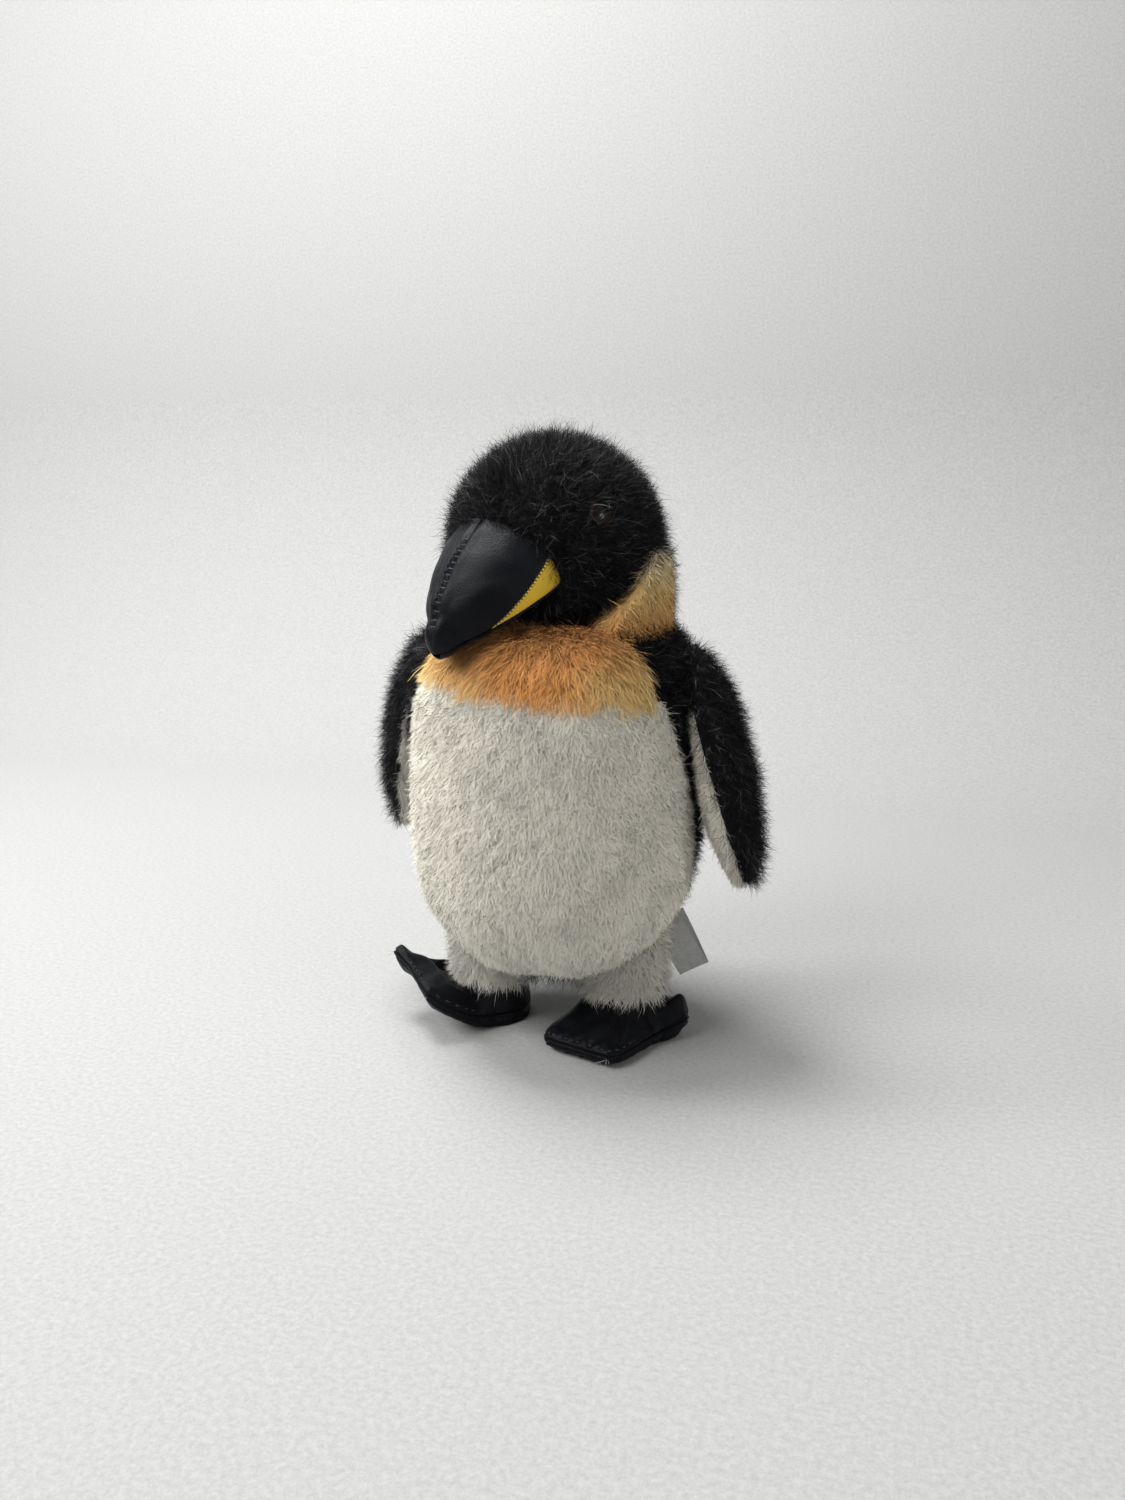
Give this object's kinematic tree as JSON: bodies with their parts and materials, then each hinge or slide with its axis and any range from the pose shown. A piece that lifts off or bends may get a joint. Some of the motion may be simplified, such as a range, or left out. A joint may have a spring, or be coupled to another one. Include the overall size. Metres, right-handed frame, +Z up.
{
  "type": "plush penguin",
  "caption": "Standing plush penguin with a turning, nodding head, hinged flippers, swivelling leatherette feet, a soft tail and a folded blank care label.",
  "frame": {"origin": "on the floor under the middle of the whole outline, with the feet standing on it", "axes": "+Z up, the body faces -Y, the penguin's own left is +X; stored with the head turned to its right and the right foot turned out"},
  "size_m": [0.1942, 0.148, 0.282],
  "materials": {
    "black_plush": "long curly pile",
    "white_plush": "short combed pile",
    "orange_plush": "combed pile, orange fading to yellow",
    "black_leatherette": "fine grain, soft sheen",
    "yellow_leatherette": "fine grain, soft sheen",
    "filling": "loose polyester fibre",
    "bag_cloth": "plain woven",
    "pellet_plastic": "satin",
    "thread": "twisted",
    "eye_plastic": "glossy, dark amber",
    "washer_plastic": "satin",
    "label_ribbon": "satin ribbon"
  },
  "bodies": {
    "torso": {"belly_panel": "white_plush", "bib_panel": "orange_plush", "back_panel_left": "black_plush", "back_panel_right": "black_plush", "base_panel": "black_plush", "body_stuffing": "filling", "pellet_bag": "bag_cloth", "pellets": "pellet_plastic", "closing_stitches": "thread", "leg_cuff_left": "white_plush", "leg_cuff_right": "white_plush", "leg_stuffing_left": "filling", "leg_stuffing_right": "filling"},
    "neck": {"neck_patch_left": "orange_plush", "neck_patch_right": "orange_plush", "nape_panel": "black_plush", "neck_roll": "filling", "neck_plug": "filling"},
    "head": {"head_gusset": "black_plush", "head_side_left": "black_plush", "head_side_right": "black_plush", "chin_panel": "black_plush", "head_stuffing": "filling", "beak_upper_left": "black_leatherette", "beak_upper_right": "black_leatherette", "beak_strip_left": "yellow_leatherette", "beak_strip_right": "yellow_leatherette", "lower_jaw": "black_leatherette", "beak_stuffing": "filling", "ridge_stitches": "thread", "eye_left": "eye_plastic", "eye_right": "eye_plastic", "eye_washers": "washer_plastic"},
    "flipper_left": {"flipper_outer_left": "black_plush", "flipper_inner_left": "white_plush", "flipper_stuffing_left": "filling"},
    "flipper_right": {"flipper_outer_right": "black_plush", "flipper_inner_right": "white_plush", "flipper_stuffing_right": "filling"},
    "foot_left": {"foot_upper_left": "black_leatherette", "sole_left": "black_leatherette", "foot_stuffing_left": "filling"},
    "foot_right": {"foot_upper_right": "black_leatherette", "sole_right": "black_leatherette", "foot_stuffing_right": "filling"},
    "tail": {"tail_upper": "black_plush", "tail_lower": "black_plush", "tail_stuffing": "filling"},
    "label": {"care_label": "label_ribbon"}
  },
  "joints": [
    {"name": "head_turn", "type": "hinge", "parent": "torso", "child": "neck", "pos_m": [0, -0.007, 0.236], "axis": [0, 0, 1], "range_deg": [-20, 76]},
    {"name": "head_nod", "type": "hinge", "parent": "neck", "child": "head", "pos_m": [0, -0.007, 0.236], "axis": [0.8829, -0.4695, 0], "range_deg": [-25, 4]},
    {"name": "flipper_left_raise", "type": "hinge", "parent": "torso", "child": "flipper_left", "pos_m": [0.063, -0.007, 0.193], "axis": [0, -1, 0], "range_deg": [0, 75]},
    {"name": "flipper_right_raise", "type": "hinge", "parent": "torso", "child": "flipper_right", "pos_m": [-0.063, -0.007, 0.193], "axis": [0, 0.9397, 0.342], "range_deg": [0, 75]},
    {"name": "foot_left_swivel", "type": "hinge", "parent": "torso", "child": "foot_left", "pos_m": [0.033, -0.004, 0.012], "axis": [0, 0, 1], "range_deg": [0, 60]},
    {"name": "foot_right_swivel", "type": "hinge", "parent": "torso", "child": "foot_right", "pos_m": [-0.033, -0.004, 0.012], "axis": [0, 0, 1], "range_deg": [-14, 66]},
    {"name": "tail_lift", "type": "hinge", "parent": "torso", "child": "tail", "pos_m": [0, 0.048, 0.056], "axis": [1, 0, 0], "range_deg": [-12, 15]},
    {"name": "label_swing", "type": "hinge", "parent": "torso", "child": "label", "pos_m": [0.0502, 0.0132, 0.054], "axis": [0.8681, 0.079, 0.4901], "range_deg": [-25, 40]}
  ]
}
